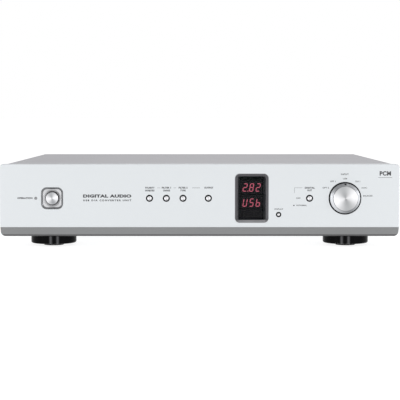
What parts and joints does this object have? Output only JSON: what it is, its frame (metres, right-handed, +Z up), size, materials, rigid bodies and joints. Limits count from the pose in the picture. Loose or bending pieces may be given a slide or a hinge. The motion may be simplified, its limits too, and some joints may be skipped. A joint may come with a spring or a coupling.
{
  "type": "digital-to-analogue converter",
  "caption": "Full-width audio converter: thick aluminium front with power button, small keys, numeric display and input selector knob, steel case on round feet, rear sockets.",
  "frame": {"origin": "middle of the overall width and depth, on the surface the feet stand on", "axes": "+X to the right as the front is seen, +Y from the front panel to the rear panel, +Z up"},
  "size_m": [0.44, 0.402, 0.092],
  "materials": {
    "front_aluminium": "fine satin, clear anodised",
    "trim_aluminium": "satin, grey anodised",
    "cover_paint": "satin metallic paint",
    "chassis_steel": "zinc plated sheet",
    "rear_paint": "fine matt black paint",
    "escutcheon_metal": "satin anodised",
    "spun_aluminium": "spun, bright anodised",
    "button_aluminium": "bright anodised",
    "black_plastic": "fine matt",
    "shutter_plastic": "satin",
    "lamp_lens": "clear grey, unlit",
    "display_frame_metal": "satin, grey anodised",
    "smoked_lens": "polished, smoked",
    "display_module": "dark epoxy with red segments",
    "circuit_board": "green solder mask",
    "chip_plastic": "moulded epoxy",
    "bright_steel": "bright zinc plating",
    "black_screws": "black oxide",
    "brass_posts": "plain machined",
    "foot_plastic": "semi-gloss black",
    "pad_rubber": "matt",
    "core_steel": "varnished laminations",
    "coil_wrap": "wound copper under yellow tape",
    "capacitor_sleeve": "shrunk sleeve, bare aluminium top",
    "sink_aluminium": "black anodised",
    "lead_sleeve": "smooth PVC",
    "ribbon_plastic": "grey PVC",
    "contact_metal": "nickel plated",
    "gold_contact": "gold plated",
    "socket_insulator": "moulded nylon"
  },
  "bodies": {
    "case": {"ac_inlet": "black_plastic", "ac_inlet_pins": "contact_metal", "board_chips": "chip_plastic", "bottom_plate": "chassis_steel", "button_bushes": "black_plastic", "case_screws": "black_screws", "chassis_screws": "bright_steel", "control_board": "circuit_board", "dac_board": "circuit_board", "digit_modules": "display_module", "digital_board": "circuit_board", "display_frame": "display_frame_metal", "display_lens": "smoked_lens", "feet": "foot_plastic", "filter_capacitors": "capacitor_sleeve", "foot_pads": "pad_rubber", "foot_screws": "bright_steel", "front_panel": "front_aluminium", "heat_sink": "sink_aluminium", "input_selector": "black_plastic", "knob_collar": "black_plastic", "lower_trim": "trim_aluminium", "mains_leads": "lead_sleeve", "operation_lamp": "lamp_lens", "optical_sockets": "black_plastic", "panel_nuts": "bright_steel", "partition_wall": "chassis_steel", "power_board": "circuit_board", "power_escutcheon": "escutcheon_metal", "power_switch": "black_plastic", "rca_contacts": "gold_contact", "rca_insulators": "socket_insulator", "rca_shells": "contact_metal", "rear_panel": "rear_paint", "ribbon_cable": "ribbon_plastic", "side_rail_left": "chassis_steel", "side_rail_right": "chassis_steel", "standoffs": "brass_posts", "sub_panel": "chassis_steel", "tact_switches": "black_plastic", "top_cover": "cover_paint", "transformer_coil": "coil_wrap", "transformer_core": "core_steel", "usb_socket": "contact_metal", "xlr_inserts": "black_plastic", "xlr_pins": "gold_contact", "xlr_shells": "contact_metal"},
    "power_key": {"power_button": "spun_aluminium"},
    "phase_key": {"phase_button": "button_aluminium"},
    "filter_key_a": {"filter_button_a": "button_aluminium"},
    "filter_key_b": {"filter_button_b": "button_aluminium"},
    "output_key": {"output_button": "button_aluminium"},
    "display_key": {"display_button": "button_aluminium"},
    "digital_out_key": {"digital_out_button": "button_aluminium"},
    "selector_knob": {"input_knob": "spun_aluminium", "selector_shaft": "bright_steel"},
    "shutter_1": {"optical_shutter_1": "shutter_plastic"},
    "shutter_2": {"optical_shutter_2": "shutter_plastic"},
    "shutter_3": {"optical_shutter_3": "shutter_plastic"},
    "latch": {"xlr_latch": "black_plastic"}
  },
  "joints": [
    {"name": "power_press", "type": "slide", "parent": "case", "child": "power_key", "axis": [0, 1, 0], "range_m": [0, 0.003], "stiffness_N_per_m": 600},
    {"name": "phase_press", "type": "slide", "parent": "case", "child": "phase_key", "axis": [0, 1, 0], "range_m": [0, 0.0008], "stiffness_N_per_m": 1500},
    {"name": "filter_a_press", "type": "slide", "parent": "case", "child": "filter_key_a", "axis": [0, 1, 0], "range_m": [0, 0.0008], "stiffness_N_per_m": 1500},
    {"name": "filter_b_press", "type": "slide", "parent": "case", "child": "filter_key_b", "axis": [0, 1, 0], "range_m": [0, 0.0008], "stiffness_N_per_m": 1500},
    {"name": "output_press", "type": "slide", "parent": "case", "child": "output_key", "axis": [0, 1, 0], "range_m": [0, 0.0008], "stiffness_N_per_m": 1500},
    {"name": "display_press", "type": "slide", "parent": "case", "child": "display_key", "axis": [0, 1, 0], "range_m": [0, 0.0008], "stiffness_N_per_m": 1500},
    {"name": "digital_out_press", "type": "slide", "parent": "case", "child": "digital_out_key", "axis": [0, 1, 0], "range_m": [0, 0.0008], "stiffness_N_per_m": 1500},
    {"name": "input_turn", "type": "hinge", "parent": "case", "child": "selector_knob", "pos_m": [0.16, -0.197, 0.0544], "axis": [0, 1, 0], "range_deg": [-60, 90]},
    {"name": "shutter_1_swing", "type": "hinge", "parent": "case", "child": "shutter_1", "pos_m": [0.062, 0.1904, 0.06845], "axis": [-1, 0, 0], "range_deg": [0, 85], "stiffness_Nm_per_rad": 0.00002},
    {"name": "shutter_2_swing", "type": "hinge", "parent": "case", "child": "shutter_2", "pos_m": [0.038, 0.1904, 0.06845], "axis": [-1, 0, 0], "range_deg": [0, 85], "stiffness_Nm_per_rad": 0.00002},
    {"name": "shutter_3_swing", "type": "hinge", "parent": "case", "child": "shutter_3", "pos_m": [0.014, 0.1904, 0.06845], "axis": [-1, 0, 0], "range_deg": [0, 85], "stiffness_Nm_per_rad": 0.00002},
    {"name": "latch_press", "type": "slide", "parent": "case", "child": "latch", "axis": [0, -1, 0], "range_m": [0, 0.0015], "stiffness_N_per_m": 800}
  ]
}
